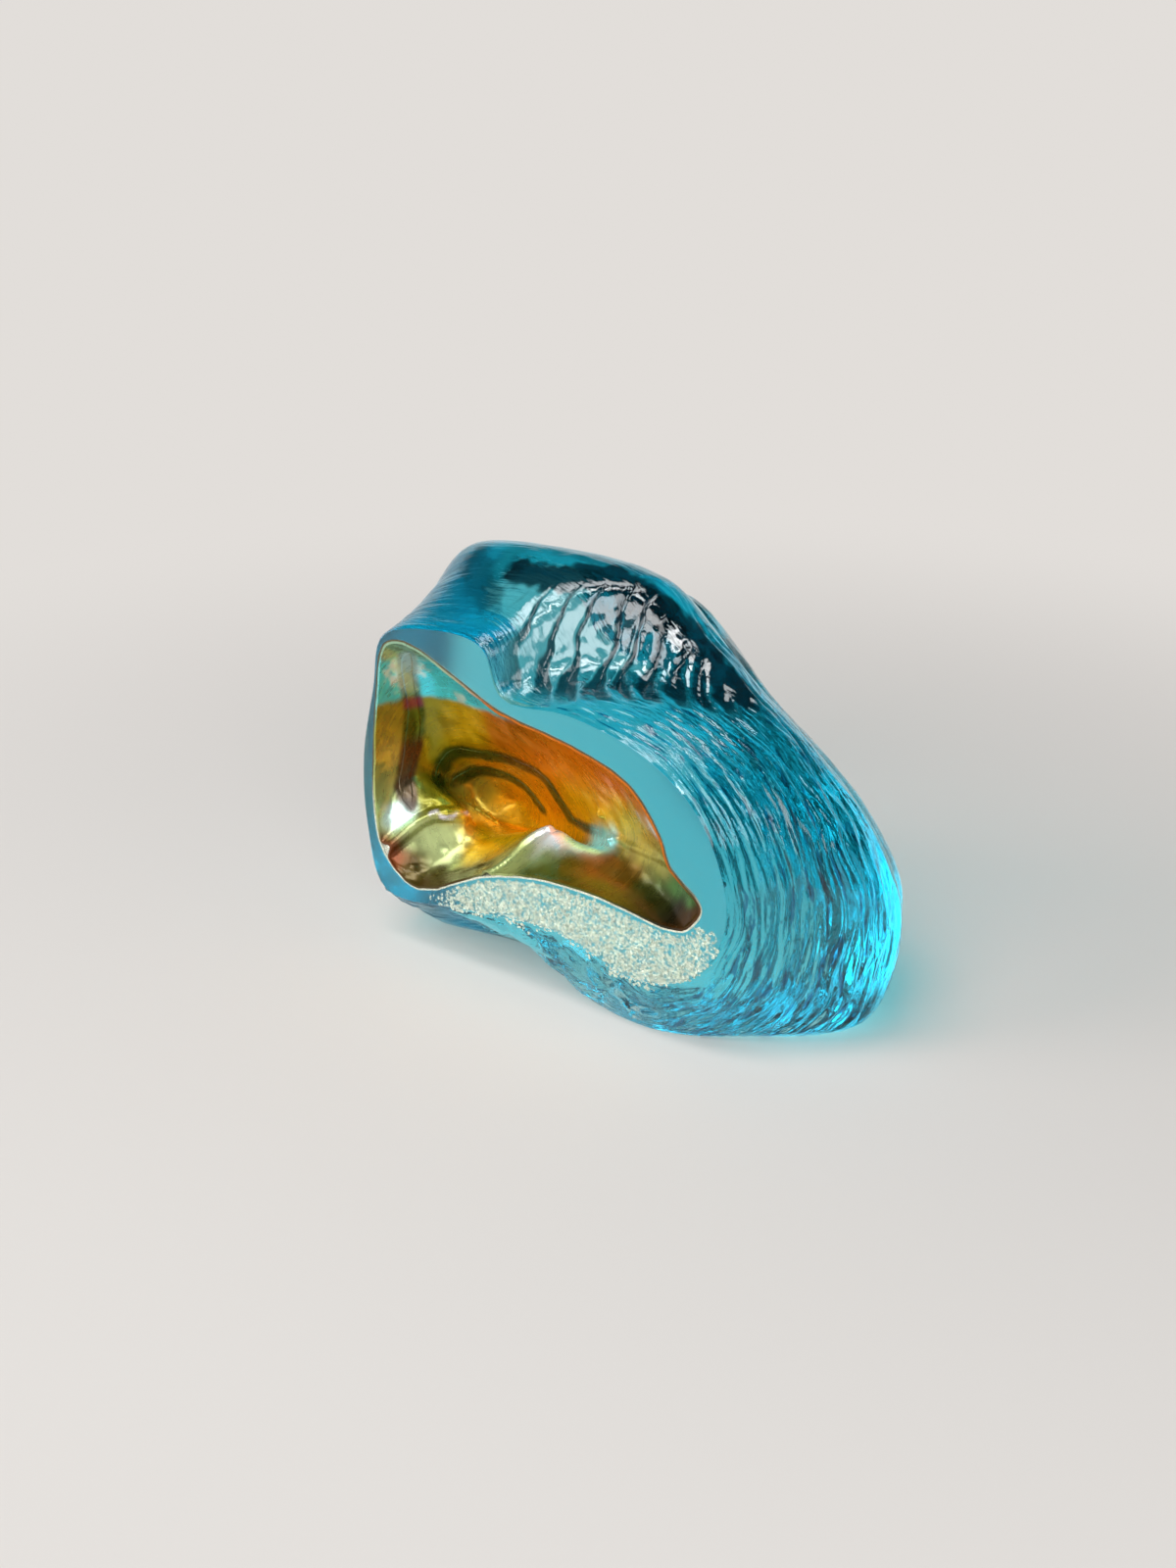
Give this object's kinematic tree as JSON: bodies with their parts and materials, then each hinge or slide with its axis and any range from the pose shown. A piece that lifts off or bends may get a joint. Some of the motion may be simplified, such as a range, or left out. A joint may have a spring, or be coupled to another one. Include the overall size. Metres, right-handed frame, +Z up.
{
  "type": "art glass paperweight",
  "caption": "Free-form lump of aqua glass with a polished cut face, a flat ground base and an open funnel lined with silver leaf and amber lustre glass crossed by green trails.",
  "frame": {"origin": "middle of the underside of the whole piece's box, on the ground base", "axes": "+X along the cut face towards the wide shoulder, +Y from the cut face into the body, +Z up"},
  "size_m": [0.1726, 0.093, 0.1282],
  "materials": {
    "aqua_glass": "polished, with chill marks",
    "silver_leaf": "crackled leaf",
    "amber_lustre": "iridescent lustre",
    "green_glass": "fire polished"
  },
  "bodies": {
    "root": {"aqua_casing": "aqua_glass", "silver_leaf": "silver_leaf", "lustre_lining": "amber_lustre", "trail_front": "green_glass", "trail_middle": "green_glass", "trail_deep": "green_glass"}
  },
  "joints": []
}
